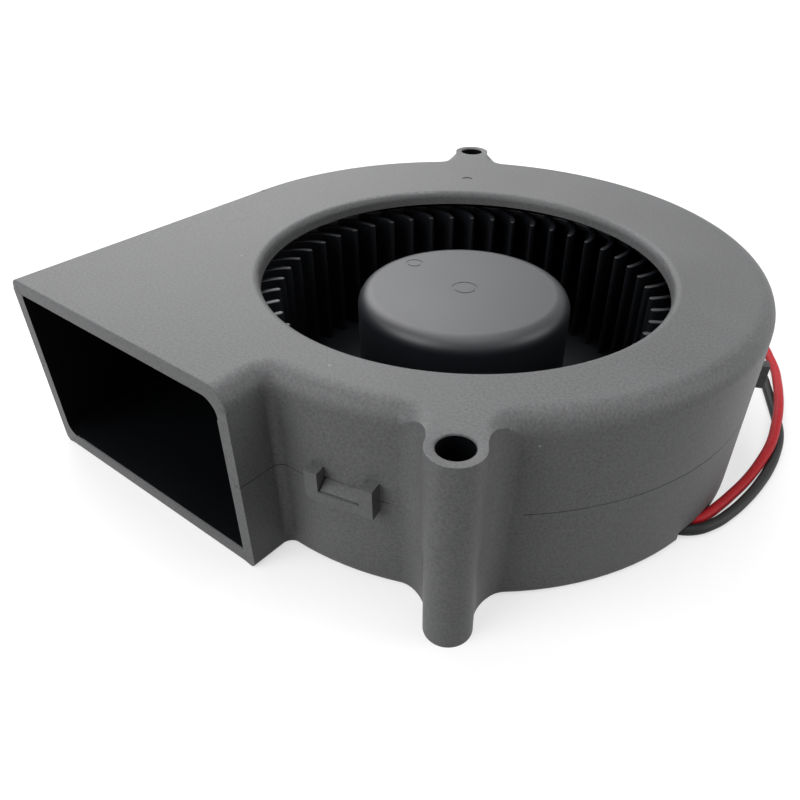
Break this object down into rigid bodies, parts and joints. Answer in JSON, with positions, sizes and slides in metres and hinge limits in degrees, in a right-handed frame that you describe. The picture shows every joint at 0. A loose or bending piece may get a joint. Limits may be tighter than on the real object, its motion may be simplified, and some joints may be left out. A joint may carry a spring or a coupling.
{
  "type": "centrifugal blower fan",
  "caption": "Flat scroll-housed blower with a round top inlet, a rectangular side outlet, a forward-curved impeller on a motor inside its hub, and two leads to a plug.",
  "frame": {"origin": "on the rotor's axis, in the plane of the housing's base", "axes": "+Z along the rotor's axis towards the inlet, -Y out of the outlet, so the long duct wall is on the -X side"},
  "size_m": [0.1022, 0.1156, 0.03],
  "materials": {
    "housing_plastic": "charcoal moulded plastic with a fine spark-eroded grain",
    "impeller_plastic": "dark moulded plastic, smoother than the housing",
    "steel": "ground bearing steel",
    "yoke_steel": "drawn and plated sheet steel",
    "lamination_steel": "stacked silicon-steel sheets",
    "magnet": "bonded ferrite",
    "brass": "turned brass",
    "copper": "enamelled copper wire",
    "insulator": "natural moulded plastic",
    "board": "green solder mask",
    "chip_black": "black moulded packages",
    "chip_tan": "fired ceramic",
    "solder": "tin solder",
    "red_jacket": "red soft wire jacket",
    "black_jacket": "black soft wire jacket",
    "connector": "natural white moulding"
  },
  "bodies": {
    "frame": {"upper_cover": "housing_plastic", "lower_housing": "housing_plastic", "bearing_balls": "steel", "bearing_outer_races": "steel", "bearing_tube": "brass", "end_cap": "housing_plastic", "stator_core": "lamination_steel", "upper_insulator": "insulator", "lower_insulator": "insulator", "coil_windings": "copper", "coil_terminals": "brass", "circuit_board": "board", "hall_sensor": "chip_black", "driver_chip": "chip_black", "capacitor": "chip_tan", "diode": "chip_black", "resistors": "chip_black", "solder_joints": "solder", "red_lead": "red_jacket", "black_lead": "black_jacket", "connector_housing": "connector", "connector_contacts": "brass"},
    "rotor": {"impeller": "impeller_plastic", "rotor_yoke": "yoke_steel", "magnet_ring": "magnet", "rotor_bush": "brass", "shaft": "steel", "preload_spring": "steel", "thrust_washer": "steel", "retaining_clip": "steel", "bearing_inner_races": "steel"}
  },
  "joints": [
    {"name": "rotor_spin", "type": "hinge", "parent": "frame", "child": "rotor", "pos_m": [0, 0, 0], "axis": [0, 0, 1], "continuous": true}
  ]
}
